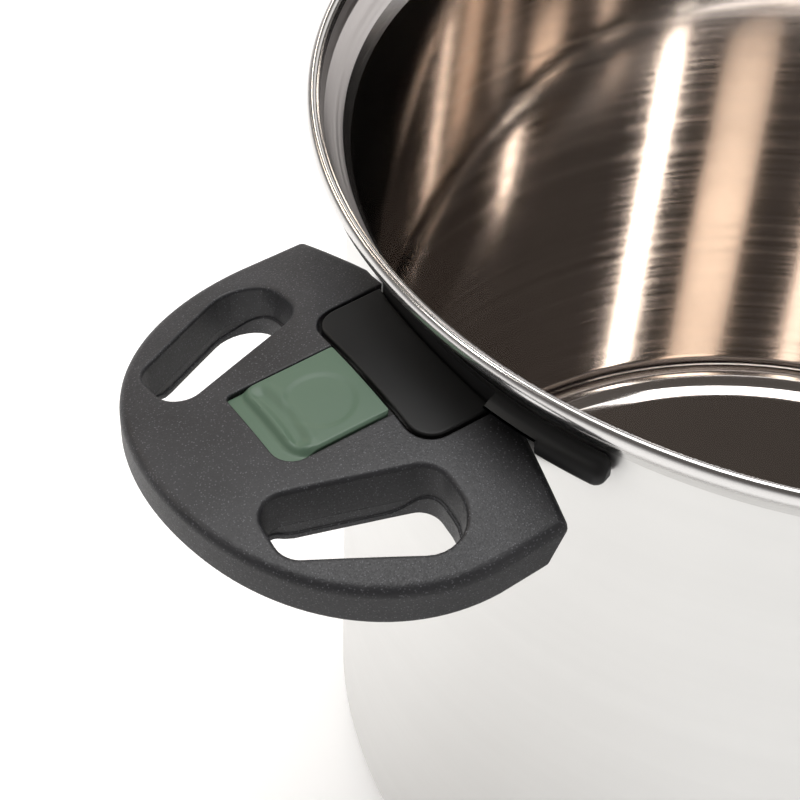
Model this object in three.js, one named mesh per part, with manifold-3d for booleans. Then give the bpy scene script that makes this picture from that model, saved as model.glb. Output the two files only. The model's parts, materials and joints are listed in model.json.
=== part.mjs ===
// Stovetop pressure cooker: a deep pot with two folding side handles, and its lid with two jaws.
// Millimetres, +Z up. The origin is the centre of the base's underside, and the handles lie along X.
import * as THREE from 'three';
import { mergeVertices } from 'three/addons/utils/BufferGeometryUtils.js';
import Module from 'manifold-3d';

const wasm = await Module();
wasm.setup();

// ---------------------------------------------------------------- driving sizes
const GAP = 0.3; // air between pieces that touch
const ROUND = 48; // facets around a full circle

const RIM_Z = 189; // centre of the rim bead above the table
const RIM_R = 120; // outermost radius of the bead
const WALL_R = 111.5; // outside of the pot wall
const SHEET = 1.0; // pot wall
const BASE_DISC_H = 5.5; // sandwich base under the pot's floor
const BASE_R = 106;

const HANDLE_TOP_Z = RIM_Z - 15.5; // handle's top face where it is 125 from the axis
const HANDLE_REF_X = 125;
const CROWN = 0.0034; // drop per square millimetre away from the handle's middle line
const SLOPE = 0.09; // drop per millimetre outwards
const GRIP_H = 8.5;
const COLLAR_H = 11.5; // depth of the finger slots' walls
const PIN_X = 116.5; // hinge pin of the handle
const PIN_Z = HANDLE_TOP_Z - 7;
const PIN_R = 1.5;
const STUD_Z = RIM_Z - 29.6; // studs that hold the bracket to the wall
const STUD_Y = 11;

const TONGUE_X = 127; // outer edge of the fixed bracket tongue
const TONGUE_HALF = 19.6;
const COVER_R = 113.2; // radius of the cover's edge beside the pot
const SLIDER_HALF = 10.4;
const LATCH_SCREW_X = 162;
const LATCH_SCREW_Y = 8;
const LATCH_COVER_HALF = 11.9;
const SLIDER_END_X = 147.9;
const POCKET_END_X = 151.2;

const KNOB_TOP = 60; // above the rim plane, so the height of the upturned lid
const LID_SPAN = 278; // pot axis to lid axis while the lid lies beside the pot
const JAW_TRAVEL = 5;
const CAM_TURN = Math.PI / 2;
const SLOT_EXTRA = 0.17; // slot past the follower at both ends

// ---------------------------------------------------------------- materials
const steelSatin = { color: 0xd8d6d2, roughness: 0.35, metalness: 1.0 };
const steelBright = { color: 0xcfcbc6, roughness: 0.12, metalness: 1.0 };
const aluminium = { color: 0xb9bcc0, roughness: 0.45, metalness: 1.0 };
const gripPlastic = { color: 0x39383b, roughness: 0.62, metalness: 0.0 };
const smoothPlastic = { color: 0x1e1d1e, roughness: 0.42, metalness: 0.0 };
const sagePlastic = { color: 0x78927c, roughness: 0.4, metalness: 0.0 };
const silicone = { color: 0xb9bab6, roughness: 0.6, metalness: 0.0 };
const redPlastic = { color: 0xa8352a, roughness: 0.4, metalness: 0.0 };

// ---------------------------------------------------------------- solids and booleans
function toManifold(geometry) {
  const bare = geometry.clone();
  bare.deleteAttribute('normal');
  bare.deleteAttribute('uv');
  const merged = mergeVertices(bare, 1e-4);
  const mesh = new wasm.Mesh({
    numProp: 3,
    vertProperties: new Float32Array(merged.attributes.position.array),
    triVerts: new Uint32Array(merged.index.array),
  });
  return new wasm.Manifold(mesh);
}

function fromManifold(solid) {
  const mesh = solid.getMesh();
  const geometry = new THREE.BufferGeometry();
  geometry.setAttribute('position', new THREE.BufferAttribute(new Float32Array(mesh.vertProperties), 3));
  geometry.setIndex(new THREE.BufferAttribute(new Uint32Array(mesh.triVerts), 1));
  return geometry;
}

function cut(geometry, ...tools) {
  return fromManifold(tools.reduce((solid, tool) => solid.subtract(toManifold(tool)), toManifold(geometry)));
}

function join(geometry, ...others) {
  return fromManifold(others.reduce((solid, other) => solid.add(toManifold(other)), toManifold(geometry)));
}

function common(geometry, other) {
  return fromManifold(toManifold(geometry).intersect(toManifold(other)));
}

function signedVolume(geometry) {
  const position = geometry.attributes.position;
  const index = geometry.index;
  const [a, b, c] = [new THREE.Vector3(), new THREE.Vector3(), new THREE.Vector3()];
  let volume = 0;
  for (let i = 0; i < index.count; i += 3) {
    a.fromBufferAttribute(position, index.getX(i));
    b.fromBufferAttribute(position, index.getX(i + 1));
    c.fromBufferAttribute(position, index.getX(i + 2));
    volume += a.dot(b.cross(c)) / 6;
  }
  return volume;
}

// Faces of a closed geometry turned to point out.
function facingOut(geometry) {
  const bare = geometry.clone();
  bare.deleteAttribute('normal');
  bare.deleteAttribute('uv');
  const merged = mergeVertices(bare, 1e-4);
  if (signedVolume(merged) < 0) {
    const index = merged.index.array;
    for (let i = 0; i < index.length; i += 3) {
      [index[i + 1], index[i + 2]] = [index[i + 2], index[i + 1]];
    }
  }
  return merged;
}

// Solid of revolution about Z from [radius, height] points. A profile that starts off the axis is closed.
function turned(profile, segments = ROUND) {
  const points = profile.map(([r, z]) => new THREE.Vector2(r, z));
  if (profile[0][0] > 0) {
    points.push(points[0].clone());
  }
  return facingOut(new THREE.LatheGeometry(points, segments).rotateX(Math.PI / 2));
}

// Corners [x, y, radius] to an outline whose corners are arcs.
function roundedOutline(corners, steps = 4) {
  const outline = [];
  corners.forEach(([x, y, radius], i) => {
    const corner = new THREE.Vector2(x, y);
    const before = new THREE.Vector2(...corners.at(i - 1).slice(0, 2)).sub(corner).normalize();
    const after = new THREE.Vector2(...corners[(i + 1) % corners.length].slice(0, 2)).sub(corner).normalize();
    if (!radius) {
      outline.push(corner);
      return;
    }
    const half = Math.acos(THREE.MathUtils.clamp(before.dot(after), -1, 1)) / 2;
    const centre = before.clone().add(after).normalize().multiplyScalar(radius / Math.sin(half)).add(corner);
    const reach = radius / Math.tan(half);
    const from = before.clone().multiplyScalar(reach).add(corner).sub(centre).angle();
    let sweep = after.clone().multiplyScalar(reach).add(corner).sub(centre).angle() - from;
    sweep = THREE.MathUtils.euclideanModulo(sweep + Math.PI, 2 * Math.PI) - Math.PI;
    for (let k = 0; k <= steps; k += 1) {
      const angle = from + (sweep * k) / steps;
      outline.push(new THREE.Vector2(Math.cos(angle), Math.sin(angle)).multiplyScalar(radius).add(centre));
    }
  });
  return outline;
}

function arc(cx, cy, radius, from, to, steps) {
  return Array.from({ length: steps + 1 }, (_, k) => {
    const angle = from + ((to - from) * k) / steps;
    return new THREE.Vector2(cx + radius * Math.cos(angle), cy + radius * Math.sin(angle));
  });
}

// Flat plate from an outline, between two heights, with its top edge bevelled.
function plate(outline, low, high, bevel = 0) {
  const shape = new THREE.Shape(outline);
  if (!bevel) {
    return facingOut(new THREE.ExtrudeGeometry(shape, { depth: high - low, bevelEnabled: false })
      .translate(0, 0, low));
  }
  const options = {
    depth: high - low - 2 * bevel,
    bevelThickness: bevel,
    bevelSize: bevel,
    bevelOffset: -bevel,
    bevelSegments: 1,
  };
  return facingOut(new THREE.ExtrudeGeometry(shape, options).translate(0, 0, low + bevel));
}

// Strip with a side profile of [x, z] points, as wide as twice the half width.
function rib(profile, half) {
  const shape = new THREE.Shape(profile.map((p) => new THREE.Vector2(...p)));
  const geometry = new THREE.ExtrudeGeometry(shape, { depth: 2 * half, bevelEnabled: false });
  return facingOut(geometry.rotateX(Math.PI / 2).translate(0, half, 0));
}

function box(x0, x1, y0, y1, z0, z1) {
  const geometry = new THREE.BoxGeometry(x1 - x0, y1 - y0, z1 - z0);
  return facingOut(geometry.translate((x0 + x1) / 2, (y0 + y1) / 2, (z0 + z1) / 2));
}

function roundedBox(x0, x1, y0, y1, z0, z1, radius, steps = 3) {
  const corners = [[x0, y0, radius], [x1, y0, radius], [x1, y1, radius], [x0, y1, radius]];
  return plate(roundedOutline(corners, steps), z0, z1);
}

// Round bar along Z, moved to x, y.
function bar(x, y, z0, z1, radius, segments = 16) {
  const geometry = new THREE.CylinderGeometry(radius, radius, z1 - z0, segments).rotateX(Math.PI / 2);
  return facingOut(geometry.translate(x, y, (z0 + z1) / 2));
}

// Round bar along X, at y and z.
function lying(x0, x1, y, z, radius, segments) {
  const geometry = new THREE.CylinderGeometry(radius, radius, x1 - x0, segments).rotateZ(Math.PI / 2);
  return facingOut(geometry.translate((x0 + x1) / 2, y, z));
}

class Helix extends THREE.Curve {
  constructor(start, length, radius, turns) {
    super();
    Object.assign(this, { start, length, radius, turns });
  }

  getPoint(t) {
    const angle = 2 * Math.PI * this.turns * t;
    const sideways = new THREE.Vector3(0, this.radius * Math.cos(angle), this.radius * Math.sin(angle));
    return sideways.add(this.start).add(new THREE.Vector3(this.length * t, 0, 0));
  }
}

// Compression spring along X.
function spring(start, length, radius, turns, wire) {
  const section = new THREE.Shape(arc(0, 0, wire, 0, 2 * Math.PI * (4 / 5), 4));
  const path = new Helix(start, length, radius, turns);
  return facingOut(new THREE.ExtrudeGeometry(section, { steps: turns * 8, extrudePath: path }));
}

// Long edges halved until none is longer than the limit, so that a bend stays smooth.
function withShortEdges(geometry, limit) {
  let points = [...facingOut(geometry).attributes.position.array];
  let faces = [...facingOut(geometry).index.array];
  const length = (a, b) => Math.hypot(
    points[3 * a] - points[3 * b],
    points[3 * a + 1] - points[3 * b + 1],
    points[3 * a + 2] - points[3 * b + 2],
  );
  for (let longest = Infinity; longest > limit;) {
    const middles = new Map();
    const middle = (a, b) => {
      const key = a < b ? `${a},${b}` : `${b},${a}`;
      if (!middles.has(key)) {
        middles.set(key, points.length / 3);
        points.push(...[0, 1, 2].map((k) => (points[3 * a + k] + points[3 * b + k]) / 2));
      }
      return middles.get(key);
    };
    const next = [];
    longest = 0;
    for (let i = 0; i < faces.length; i += 3) {
      let [a, b, c] = faces.slice(i, i + 3);
      const sides = [length(a, b), length(b, c), length(c, a)];
      const most = Math.max(...sides);
      const turn = sides.indexOf(most);
      [a, b, c] = turn === 0 ? [a, b, c] : turn === 1 ? [b, c, a] : [c, a, b];
      longest = Math.max(longest, most);
      const long = [length(a, b), length(b, c), length(c, a)].map((side) => side > limit);
      if (!long[0]) {
        next.push(a, b, c);
      } else {
        const ab = middle(a, b);
        const upper = long[1] ? middle(b, c) : -1;
        const lower = long[2] ? middle(c, a) : -1;
        next.push(...(upper < 0 ? [ab, b, c] : [ab, b, upper, ab, upper, c]));
        next.push(...(lower < 0 ? [a, ab, c] : [a, ab, lower, lower, ab, c]));
      }
    }
    faces = next;
  }
  const result = new THREE.BufferGeometry();
  result.setAttribute('position', new THREE.Float32BufferAttribute(points, 3));
  result.setIndex(faces);
  return result;
}

// The handle's pieces are drawn flat, with their top face at 0, and then take its crown and its slope.
function crowned(geometry, limit = 18) {
  const bent = withShortEdges(geometry, limit);
  const position = bent.attributes.position;
  for (let i = 0; i < position.count; i += 1) {
    const [x, y] = [position.getX(i), position.getY(i)];
    const drop = CROWN * y * y + SLOPE * (x - HANDLE_REF_X);
    position.setZ(i, position.getZ(i) + HANDLE_TOP_Z - drop);
  }
  return bent;
}

function node(name, geometry, look) {
  const shaded = geometry.clone();
  shaded.computeVertexNormals();
  const mesh = new THREE.Mesh(shaded, new THREE.MeshStandardMaterial({ ...look, flatShading: true }));
  mesh.name = name;
  return mesh;
}

// ---------------------------------------------------------------- pot
function potBody() {
  const floor = BASE_DISC_H + GAP;
  const inner = WALL_R - SHEET;
  const rim = (r, z) => [r, RIM_Z + z];
  return turned([
    [0, floor],
    [WALL_R - 6, floor],
    [WALL_R - 1.8, floor + 1.8],
    [WALL_R, floor + 6],
    rim(WALL_R, -11.4),
    rim(113.2, -9.4),
    rim(116.8, -4.6),
    rim(118.2, -1.7),
    rim(119.5, -1.4),
    rim(RIM_R, 0),
    rim(119.6, 1.4),
    rim(118.78, 1.86),
    rim(117.9, 1.4),
    rim(117.3, 0.6),
    rim(116.3, -4.2),
    rim(112.4, -9.1),
    rim(inner, -12.2),
    [inner, floor + 10.5],
    [inner - 2.9, floor + 3.9],
    [inner - 9.5, floor + SHEET],
    [0, floor + SHEET],
  ]);
}

function baseCore() {
  const low = 1.0 + GAP;
  return turned([[0, low], [BASE_R - 2, low], [BASE_R - 2, BASE_DISC_H], [0, BASE_DISC_H]]);
}

function baseCap() {
  const lip = BASE_R - 2 + GAP;
  return turned([
    [0, 0],
    [BASE_R - 2, 0],
    [BASE_R - 0.5, 0.7],
    [BASE_R, 2],
    [BASE_R, BASE_DISC_H - 0.2],
    [lip, BASE_DISC_H],
    [lip, 1.0],
    [0, 1.0],
  ]);
}

// ---------------------------------------------------------------- handle
function gripOutline() {
  const tip = 0.33;
  const side = arc(127.9, 3, 44, tip, Math.PI / 2, 6);
  const half = [...arc(119.2, 0, 53.2, 0, tip, 2), ...side.slice(1)];
  const inner = [[113, 46.4, 1.6], [109.4, 27, 3], [110.4, 20.2, 0]];
  const rounded = roundedOutline([[127.9, 47, 0], ...inner, [150, 0, 0]], 2).slice(1, -1);
  const upper = [...half, ...rounded];
  const lower = upper.slice(1).reverse().map((p) => new THREE.Vector2(p.x, -p.y));
  return [...upper, ...lower];
}

// Corners of a finger slot on the side of positive Y, and of the collar that its wall stands in.
const SLOT = [[127, 44.8, 8], [160.9, 27.2, 5], [160.5, 13.4, 5], [127, 24, 6]];
const COLLAR = [[125.2, 46.6, 9.5], [162.5, 28.2, 6.5], [162.3, 12.5, 6.2], [125.2, 22.4, 7.5]];

function mirroredOutline(corners, sign) {
  return roundedOutline(corners.map(([x, y, r]) => [x, sign * y, r]), 3);
}

function tongueOutline(inner, outer, half, radius) {
  const corners = [[inner, -half, 0], [outer, -half, radius], [outer, half, radius], [inner, half, 0]];
  return roundedOutline(corners, 3);
}

function pinBar(length, radius, segments) {
  const along = new THREE.CylinderGeometry(radius, radius, length, segments);
  return facingOut(along.translate(PIN_X, 0, PIN_Z));
}

function grip() {
  const deep = COLLAR_H + 1;
  const collars = [1, -1].map((sign) => plate(mirroredOutline(COLLAR, sign), -COLLAR_H, -GRIP_H + 1));
  const blank = join(plate(gripOutline(), -GRIP_H, 0, 1.3), ...collars);
  const slots = [1, -1].map((sign) => plate(mirroredOutline(SLOT, sign), -deep, 1));
  const opening = plate(tongueOutline(100, TONGUE_X + 0.8, TONGUE_HALF + 0.7, 5.5), -deep, 1);
  const pocket = roundedBox(TONGUE_X, POCKET_END_X, -SLIDER_HALF - 0.35, SLIDER_HALF + 0.35, -deep, 1, 2.5);
  const cavity = box(TONGUE_X, 156.5, -SLIDER_HALF - 0.35, SLIDER_HALF + 0.35, -deep, -2.0);
  const springBay = box(150, 163.5, -3.2, 3.2, -deep, -2.6);
  const bayHalf = LATCH_COVER_HALF + GAP;
  const coverBay = roundedBox(129.5, 166, -bayHalf, bayHalf, -deep, -GRIP_H + 2.3, 3);
  const flat = cut(blank, ...slots, opening, pocket, cavity, springBay, coverBay);
  const screwHoles = [1, -1].map((sign) => bar(LATCH_SCREW_X, sign * LATCH_SCREW_Y, -deep, -2.8, 1.6, 10));
  const undercut = rib([[100, -3], [112.2, -3], [117.4, -8.6], [117.4, -deep], [100, -deep]], 9);
  const undercuts = [1, -1].map((sign) => undercut.clone().translate(0, sign * 39.5, 0));
  return cut(crowned(cut(flat, ...screwHoles, ...undercuts)), pinBar(62, PIN_R + 0.08, 12));
}

function latchCover() {
  const half = LATCH_COVER_HALF;
  const flat = roundedBox(129.8, 165.7, -half, half, -GRIP_H, -GRIP_H + 2.0, 2.7);
  return crowned(cut(flat, ...[-1, 1].map((s) => bar(LATCH_SCREW_X, s * LATCH_SCREW_Y, -20, 20, 1.6, 10))));
}

function latchScrew(sign) {
  const at = [LATCH_SCREW_X, sign * LATCH_SCREW_Y];
  const shank = bar(...at, -GRIP_H - 0.9, -3.2, 1.25, 10);
  return crowned(join(shank, bar(...at, -GRIP_H - 1.4, -GRIP_H - 0.3, 2.6, 10)), 40);
}

function releaseSlider() {
  const block = roundedBox(128.2, SLIDER_END_X, -SLIDER_HALF, SLIDER_HALF, -2.6, 0.8, 2.4);
  const ledge = box(128.2, 152.6, -SLIDER_HALF, SLIDER_HALF, -4.6, -2.4);
  const boss = box(146, 149.2, -2.6, 2.6, -GRIP_H + 2.4, -4.4);
  const groove = box(141.6, 143.8, -8.4, 8.4, 0.1, 2);
  const socket = box(133.7, 138.3, -3.3, 3.3, -5, -3.1);
  const springRoom = box(149.2, 153, -1.9, 1.9, -5, -2.7);
  return crowned(cut(join(block, ledge, boss), groove, socket, springRoom));
}

function latchBolt() {
  const blade = box(124.5, 144.5, -5, 5, -6.1, -4.9);
  return crowned(join(blade, box(134, 138, -3, 3, -5.5, -3.4)), 40);
}

function latchSpring() {
  return crowned(spring(new THREE.Vector3(149.7, 0, -4.5), 13.2, 1.1, 6, 0.35), 40);
}

function hingePin() {
  return pinBar(58, PIN_R, 12);
}

// Fixed bracket: a curved bar on the pot wall, and the tongue that the handle folds about.
function bracket() {
  const barOuter = 116.5;
  const reach = Math.tan(THREE.MathUtils.degToRad(23.4));
  const shortReach = Math.tan(THREE.MathUtils.degToRad(9.6));
  const ring = turned([
    [WALL_R + GAP, RIM_Z - 17],
    [barOuter, RIM_Z - 17],
    [barOuter, RIM_Z - 15.6],
    [barOuter - 1.2, RIM_Z - 13.2],
    [barOuter - 3.6, RIM_Z - 12.2],
    [WALL_R + GAP, RIM_Z - 12.2],
  ], 120);
  const sector = [[0, 0], [150, -150 * shortReach], [150, 150 * reach]].map((p) => new THREE.Vector2(...p));
  const swing = box(100, 130, 19.8, 32.6, 0, RIM_Z - 13.6);
  const coverRoom = cut(box(100, 130, -19.8, 19.8, 0, RIM_Z), bar(0, 0, 0, RIM_Z, COVER_R - GAP, 120));
  const potSolid = bar(0, 0, 0, RIM_Z, WALL_R + GAP, 120);
  const catchSlot = box(TONGUE_X - 3.2, TONGUE_X + 1, -5.6, 5.6, -12, -4.2);
  const tongue = crowned(cut(plate(tongueOutline(105, TONGUE_X, TONGUE_HALF, 5), -8.6, -1.6), catchSlot));
  const root = box(105, 114.4, -TONGUE_HALF, TONGUE_HALF, RIM_Z - 33, RIM_Z - 18);
  const heel = cut(box(105, 114, -TONGUE_HALF, TONGUE_HALF, RIM_Z - 20, RIM_Z - 13.4), coverRoom);
  const knuckleShape = new THREE.CylinderGeometry(3.2, 3.2, 2 * TONGUE_HALF, 16);
  const knuckle = facingOut(knuckleShape.translate(PIN_X, 0, PIN_Z));
  const arm = cut(join(tongue, root, heel, knuckle), potSolid);
  const body = join(cut(common(ring, plate(sector, RIM_Z - 30, RIM_Z)), swing, coverRoom), arm);
  const studHoles = [-1, 1].map((s) => lying(105, 120, s * STUD_Y, STUD_Z, 2.3, 12));
  return cut(body, pinBar(62, PIN_R + 0.05, 12), ...studHoles);
}

function bracketCover() {
  const slab = plate(tongueOutline(105, TONGUE_X, TONGUE_HALF, 5), -1.3, 0);
  return crowned(cut(slab, bar(0, 0, -5, 5, COVER_R, 120)));
}

// Threaded stud welded to the wall.
function wallStud(sign) {
  return cut(lying(105, 116.4, sign * STUD_Y, STUD_Z, 2, 12), bar(0, 0, 0, RIM_Z, WALL_R + GAP, 120));
}

function studNut(sign) {
  const nut = lying(114.7, 117, sign * STUD_Y, STUD_Z, 3.4, 6);
  return cut(nut, lying(105, 120, sign * STUD_Y, STUD_Z, 2.3, 12));
}

function addHandle(group, side) {
  const assembly = new THREE.Group();
  assembly.rotation.z = side === 'left' ? Math.PI : 0;
  assembly.add(
    node(`${side}_bracket`, bracket(), smoothPlastic),
    node(`${side}_bracket_cover`, bracketCover(), smoothPlastic),
    ...[-1, 1].map((s, i) => node(`${side}_wall_stud_${i + 1}`, wallStud(s), steelBright)),
    ...[-1, 1].map((s, i) => node(`${side}_stud_nut_${i + 1}`, studNut(s), steelBright)),
    node(`${side}_hinge_pin`, hingePin(), steelBright),
    node(`${side}_grip`, grip(), gripPlastic),
    node(`${side}_latch_cover`, latchCover(), gripPlastic),
    ...[-1, 1].map((s, i) => node(`${side}_latch_screw_${i + 1}`, latchScrew(s), steelBright)),
    node(`${side}_release_slider`, releaseSlider(), sagePlastic),
    node(`${side}_latch_bolt`, latchBolt(), steelSatin),
    node(`${side}_latch_spring`, latchSpring(), steelBright),
  );
  group.add(assembly);
}

// ---------------------------------------------------------------- lid, drawn closed with the rim plane at 0
const DOME = [[0, 29], [32, 28], [64, 24.8], [90, 19], [104, 12.4], [110.5, 6.3]];

function underDome(extra) {
  const skin = DOME.map(([r, z]) => [r, z + extra]).reverse();
  return turned([[0, -10], [110.5, -10], ...skin]);
}

function lidShell() {
  const inside = DOME.map(([r, z]) => [r && r - 0.6, z - 1.1]).reverse();
  const shell = turned([
    ...DOME,
    [112, 5.7],
    [121, 5.7],
    [122, 5],
    [122, 2.5],
    [121.1, 2.5],
    [121.1, 4.6],
    [111.5, 4.6],
    ...inside,
  ]);
  const holes = [
    bar(...REGULATOR_AT, -20, 60, 4.4),
    bar(...INDICATOR_AT, -20, 60, 4.4),
    bar(...SAFETY_AT, -20, 60, 5.4),
    ...BRIDGE_SCREWS_AT.map(([x, y]) => bar(x, y, -20, 60, 2.2, 10)),
  ];
  return cut(shell, ...holes);
}

const REGULATOR_AT = [0, 60];
const INDICATOR_AT = [-24, -54];
const SAFETY_AT = [34, -50];
const BRIDGE_SCREWS_AT = [[36, 19], [36, -19], [-36, 19], [-36, -19]];
const ARM_HALF = 9;
const ARM_LOW = 31.2;
const ARM_HIGH = 33.2;
const CAM_LOW = 34;
const CAM_HIGH = 36;
const PIN_OPEN_R = 20;

function lidGasket() {
  return turned([[112.6, 2.2], [120.6, 2.2], [120.6, 4.2], [112.6, 4.2]]);
}

function lidBridge() {
  const outline = roundedOutline([[-50, -27, 16], [50, -27, 16], [50, 27, 16], [-50, 27, 16]], 5);
  const shell = plate(outline, 20, 42.5, 1.5);
  const hollow = roundedBox(-46.5, 46.5, -14, 14, 0, 33.8, 3, 2);
  const drum = bar(0, 0, 0, 37.5, 27 - 1.8, 32);
  const windows = box(-60, 60, -ARM_HALF - 0.5, ARM_HALF + 0.5, 0, 33.8);
  const bore = bar(0, 0, 0, 60, 5.6, 20);
  const screwHoles = BRIDGE_SCREWS_AT.map(([x, y]) => bar(x, y, 0, 36, 1.9, 10));
  return cut(shell, hollow, drum, windows, bore, underDome(GAP), ...screwHoles);
}

function bridgeScrew([x, y]) {
  return join(bar(x, y, 23.4, 35.5, 1.6, 10), bar(x, y, 21.6, 23.8, 3.4, 10));
}

// Clamp jaw with its arm, drawn shut.
function jaw() {
  const channel = turned([
    [112.4, 6.1],
    [124.4, 6.1],
    [124.4, -2.3],
    [118.9, -2.3],
    [118.9, -3.7],
    [125.2, -3.7],
    [126, -3],
    [126, 6.9],
    [125.2, 7.7],
    [112.4, 7.7],
  ], 72);
  const corners = [[70, -60], [140, -70], [140, 70], [70, 60]];
  const wedge = plate(corners.map((p) => new THREE.Vector2(...p)), -10, 20);
  const under = [[8, ARM_LOW], [54, ARM_LOW], [86, 24.2], [103, 16.8], [113.6, 6.6]];
  const over = [[115.8, 7.4], [104.8, 18.4], [87, 26.2], [54.6, ARM_HIGH], [8, ARM_HIGH]];
  const arm = rib([...under, ...over], ARM_HALF);
  const follower = bar(PIN_OPEN_R - JAW_TRAVEL, 0, ARM_LOW + 0.5, CAM_HIGH, 2.2, 14);
  return join(common(channel, wedge), arm, follower);
}

// Plate with two spiral slots: a quarter turn draws both jaws in.
function camPlate() {
  const disc = bar(0, 0, CAM_LOW, CAM_HIGH, 24.6, 40);
  const edge = 2.2 + 0.4;
  const centre = (k) => {
    const turn = -SLOT_EXTRA + (CAM_TURN + 2 * SLOT_EXTRA) * k;
    return [PIN_OPEN_R - (JAW_TRAVEL * turn) / CAM_TURN, -turn];
  };
  const steps = 10;
  const side = (offset) => Array.from({ length: steps + 1 }, (_, i) => {
    const [r, angle] = centre(i / steps);
    return new THREE.Vector2((r + offset) * Math.cos(angle), (r + offset) * Math.sin(angle));
  });
  const spiral = plate([...side(edge), ...side(-edge).reverse()], CAM_LOW - 1, CAM_HIGH + 1);
  const other = spiral.clone().rotateZ(Math.PI);
  return cut(disc, spiral, other, bar(0, 0, 0, 60, 4.3, 16));
}

function knobSpindle() {
  return join(bar(0, 0, 30.2, 52, 4, 16), bar(0, 0, 37, 38.2, 5.2, 16), bar(0, 0, 30.2, 33.4, 5.6, 16));
}

function lidKnob() {
  const bellSide = [[27, 43], [29, 45], [29.5, 49], [28, 56], [24, 59.3], [22, KNOB_TOP]];
  const bell = turned([[0, 43], ...bellSide, [0, KNOB_TOP]], 40);
  const flats = [-1, 1].map((s) => box(-40, 40, s * 27 - 13, s * 27 + 13, 49, 70));
  return cut(bell, ...flats, bar(0, 0, 0, 52.4, 4.35, 16));
}

function steamPipe() {
  const [x, y] = REGULATOR_AT;
  const stem = turned([
    [0, 19], [7, 19], [7, 22.4], [4, 22.4], [4, 26.8], [7.4, 26.8], [7.4, 29], [4, 29], [2.6, 36], [0, 36],
  ], 20).translate(x, y, 0);
  return cut(stem, bar(x, y, 10, 34, 1.2, 10));
}

function pressureRegulator() {
  const [x, y] = REGULATOR_AT;
  const weight = turned([[0, 30], [10, 30], [11, 31.5], [11, 42], [8.5, 45], [0, 45]], 24).translate(x, y, 0);
  const bore = turned([[0, 20], [4.6, 20], [4.6, 30.2], [3.1, 36.6], [0, 36.6]], 20).translate(x, y, 0);
  const pointer = roundedBox(x - 2, x + 2, y + 8, y + 15, 33, 41, 1);
  return cut(join(weight, pointer), bore);
}

function indicatorBush() {
  const [x, y] = INDICATOR_AT;
  const flanges = [[6.5, 20], [6.5, 22.4], [4, 22.4], [4, 26.8], [6.5, 26.8], [6.5, 31]];
  const body = turned([[0, 20], ...flanges, [0, 31]], 20);
  return cut(body.translate(x, y, 0), bar(x, y, 0, 60, 2.5, 14));
}

function indicatorPin() {
  const [x, y] = INDICATOR_AT;
  const profile = [[0, 18.4], [3.4, 18.4], [3.4, 19.6], [2.1, 19.6], [2.1, 32], [0, 33.4]];
  return turned(profile, 14).translate(x, y, 0);
}

function safetyValve() {
  const [x, y] = SAFETY_AT;
  const flanges = [[8, 19.5], [8, 22], [5, 22], [5, 26.8], [7.6, 26.8], [7.6, 31], [4.5, 33.5]];
  const body = [[0, 19.5], ...flanges, [0, 33.5]];
  return turned(body, 20).translate(x, y, 0);
}

function addLid(group) {
  const lid = new THREE.Group();
  const jaws = ['left', 'right'].map((side) => {
    const mesh = node(`lid_jaw_${side}`, jaw(), steelSatin);
    const turn = side === 'left' ? Math.PI : 0;
    mesh.rotation.z = turn;
    mesh.position.x = JAW_TRAVEL * Math.cos(turn);
    return mesh;
  });
  lid.add(
    node('lid_shell', lidShell(), steelSatin),
    node('lid_gasket', lidGasket(), silicone),
    node('lid_bridge', lidBridge(), gripPlastic),
    ...BRIDGE_SCREWS_AT.map((at, i) => node(`bridge_screw_${i + 1}`, bridgeScrew(at), steelBright)),
    ...jaws,
    node('cam_plate', camPlate(), steelSatin),
    node('knob_spindle', knobSpindle(), steelBright),
    node('lid_knob', lidKnob(), smoothPlastic),
    node('steam_pipe', steamPipe(), steelBright),
    node('pressure_regulator', pressureRegulator(), smoothPlastic),
    node('indicator_bush', indicatorBush(), steelBright),
    node('indicator_pin', indicatorPin(), redPlastic),
    node('safety_valve', safetyValve(), steelBright),
  );
  lid.rotation.x = Math.PI;
  lid.position.set(0, -LID_SPAN, KNOB_TOP);
  group.add(lid);
}

// ---------------------------------------------------------------- whole cooker
const group = new THREE.Group();
group.add(
  node('pot_body', potBody(), steelSatin),
  node('base_core', baseCore(), aluminium),
  node('base_cap', baseCap(), steelSatin),
);
addHandle(group, 'left');
addHandle(group, 'right');
addLid(group);

export default group;
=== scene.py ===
import json
import math

import bmesh
import bpy
from mathutils import Matrix, Vector
from mathutils.geometry import tessellate_polygon


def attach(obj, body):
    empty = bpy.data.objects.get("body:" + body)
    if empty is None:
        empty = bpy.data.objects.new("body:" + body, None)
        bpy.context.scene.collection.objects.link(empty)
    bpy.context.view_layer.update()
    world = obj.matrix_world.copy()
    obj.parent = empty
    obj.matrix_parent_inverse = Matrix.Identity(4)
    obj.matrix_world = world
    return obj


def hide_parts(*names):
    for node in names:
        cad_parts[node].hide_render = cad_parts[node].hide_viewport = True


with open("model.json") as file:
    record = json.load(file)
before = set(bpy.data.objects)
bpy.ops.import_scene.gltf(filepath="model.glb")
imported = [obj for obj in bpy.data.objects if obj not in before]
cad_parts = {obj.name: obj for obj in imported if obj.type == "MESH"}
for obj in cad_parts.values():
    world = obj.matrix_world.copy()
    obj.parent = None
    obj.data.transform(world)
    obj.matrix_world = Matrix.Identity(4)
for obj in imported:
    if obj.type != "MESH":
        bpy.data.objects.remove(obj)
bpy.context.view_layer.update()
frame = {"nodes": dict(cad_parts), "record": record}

# ---------------------------------------------------------------- sizes, millimetres, as in the CAD
RIM_Z = 189  # centre of the rolled bead
BEAD_R = 118.78  # and its radius from the axis
BEAD_HALF = 1.22  # half of the bead's width
BEAD_RISE = 1.86  # half of its height
WALL_R = 111.5
WALL_GAP = 0.3  # between the wall and what is fixed to it
SHEET = 1.0
BASE_R = 106
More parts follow.
